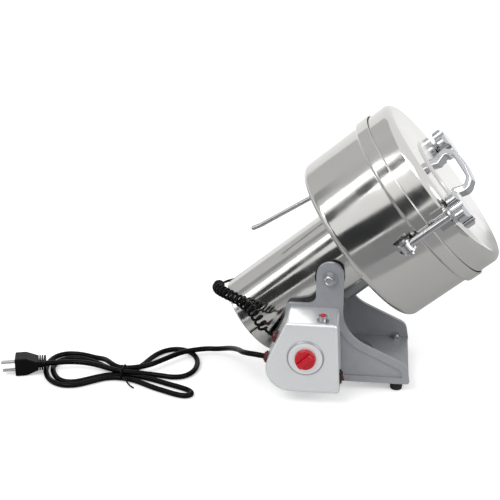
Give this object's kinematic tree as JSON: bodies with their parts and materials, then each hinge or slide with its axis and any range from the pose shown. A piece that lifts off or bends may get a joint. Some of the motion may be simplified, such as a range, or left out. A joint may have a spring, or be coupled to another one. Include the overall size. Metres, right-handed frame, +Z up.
{
  "type": "swing grain mill",
  "caption": "Tilting electric grain mill: round steel grinding bowl with clamped lid on a motor tube, hung between the cheeks of a cast base, with timer box and tied cord.",
  "frame": {"origin": "on the bench, under the middle of the mill measured without its cords", "axes": "+Z up; -Y towards the operator, who faces the timer; +X the way the bowl leans; the head tilts about the Y direction"},
  "size_m": [0.6616, 0.3098, 0.3641],
  "materials": {
    "base_paint": "satin",
    "box_paint": "satin",
    "black_rubber": "matte",
    "seal_rubber": "matte",
    "bright_screws": "bright",
    "dial_plastic": "satin",
    "black_plastic": "satin",
    "knob_plastic": "gloss",
    "dark_red": "gloss",
    "reset_red": "gloss",
    "plated_steel": "bright",
    "polished_steel": "polished",
    "tool_steel": "ground",
    "cast_chrome": "bright",
    "motor_iron": "dull",
    "motor_casting": "cast",
    "copper": "lacquered",
    "carbon": "dull"
  },
  "bodies": {
    "base": {"base_frame": "base_paint", "rubber_feet": "black_rubber", "foot_screws": "bright_screws", "control_box": "box_paint", "box_screws": "bright_screws", "dial_plate": "dial_plastic", "timer_mechanism": "black_plastic", "reset_breaker": "plated_steel", "switch_bezel": "black_plastic", "mains_gland": "dark_red", "curly_gland": "dark_red", "friction_pads": "black_plastic", "mains_cord": "black_rubber", "mains_hank": "black_rubber", "hank_tie": "black_plastic", "plug_body": "black_rubber", "plug_blades": "plated_steel", "curly_cord": "black_rubber", "curly_lead": "black_rubber"},
    "head": {"motor_tube": "polished_steel", "end_cap": "polished_steel", "end_cap_screws": "bright_screws", "brush_bracket": "motor_casting", "motor_bearings": "tool_steel", "motor_bulkhead": "motor_casting", "stator_core": "motor_iron", "field_windings": "copper", "brush_holders": "black_plastic", "carbon_brushes": "carbon", "head_gland": "dark_red", "bowl": "polished_steel", "bowl_screws": "bright_screws", "shaft_seal": "seal_rubber", "swing_lever": "plated_steel", "clamp_lugs": "polished_steel", "hinge_pins": "bright_screws", "swing_bolts": "plated_steel", "pivot_washers": "bright_screws", "pivot_bolts": "bright_screws"},
    "rotor": {"rotor_shaft": "tool_steel", "armature": "motor_iron", "commutator": "copper", "cooling_fan": "motor_casting", "beater": "tool_steel", "middle_cutter": "tool_steel", "top_cutter": "tool_steel", "blade_spacers": "tool_steel", "blade_nut": "tool_steel"},
    "lid": {"lid_shell": "polished_steel", "lid_seal": "seal_rubber", "lid_ears": "polished_steel", "lid_handle": "cast_chrome", "handle_screws": "bright_screws", "clamp_washers": "bright_screws"},
    "near_knob": {"near_knob": "cast_chrome"},
    "far_knob": {"far_knob": "cast_chrome"},
    "timer": {"timer_knob": "knob_plastic", "timer_shaft": "plated_steel"},
    "rocker": {"switch_rocker": "dark_red"},
    "reset_button": {"reset_button": "reset_red"}
  },
  "joints": [
    {"name": "head_swing", "type": "hinge", "parent": "base", "child": "head", "pos_m": [-0.037, 0, 0.157], "axis": [0, 1, 0], "range_deg": [-50, 30], "deforming": ["curly_cord", "curly_lead"]},
    {"name": "rotor_spin", "type": "hinge", "parent": "head", "child": "rotor", "pos_m": [-0.037, 0, 0.157], "axis": [0.7697, 0, 0.6384], "continuous": true},
    {"name": "lid_lift", "type": "slide", "parent": "head", "child": "lid", "axis": [0.7697, 0, 0.6384], "range_m": [0, 0.12]},
    {"name": "near_knob_turn", "type": "hinge", "parent": "lid", "child": "near_knob", "pos_m": [0.10909, -0.13092, 0.27222], "axis": [0.7697, 0, 0.6384], "continuous": true},
    {"name": "far_knob_turn", "type": "hinge", "parent": "lid", "child": "far_knob", "pos_m": [0.10325, 0.13092, 0.27925], "axis": [0.7697, 0, 0.6384], "continuous": true},
    {"name": "timer_turn", "type": "hinge", "parent": "base", "child": "timer", "pos_m": [-0.0622, -0.124, 0.0691], "axis": [0, 1, 0], "range_deg": [0, 300]},
    {"name": "rocker_tilt", "type": "hinge", "parent": "base", "child": "rocker", "pos_m": [-0.01879, -0.11, 0.039], "axis": [0, 1, 0], "range_deg": [0, 20]},
    {"name": "reset_press", "type": "slide", "parent": "base", "child": "reset_button", "axis": [0, 0, -1], "range_m": [0, 0.002], "stiffness_N_per_m": 600}
  ]
}
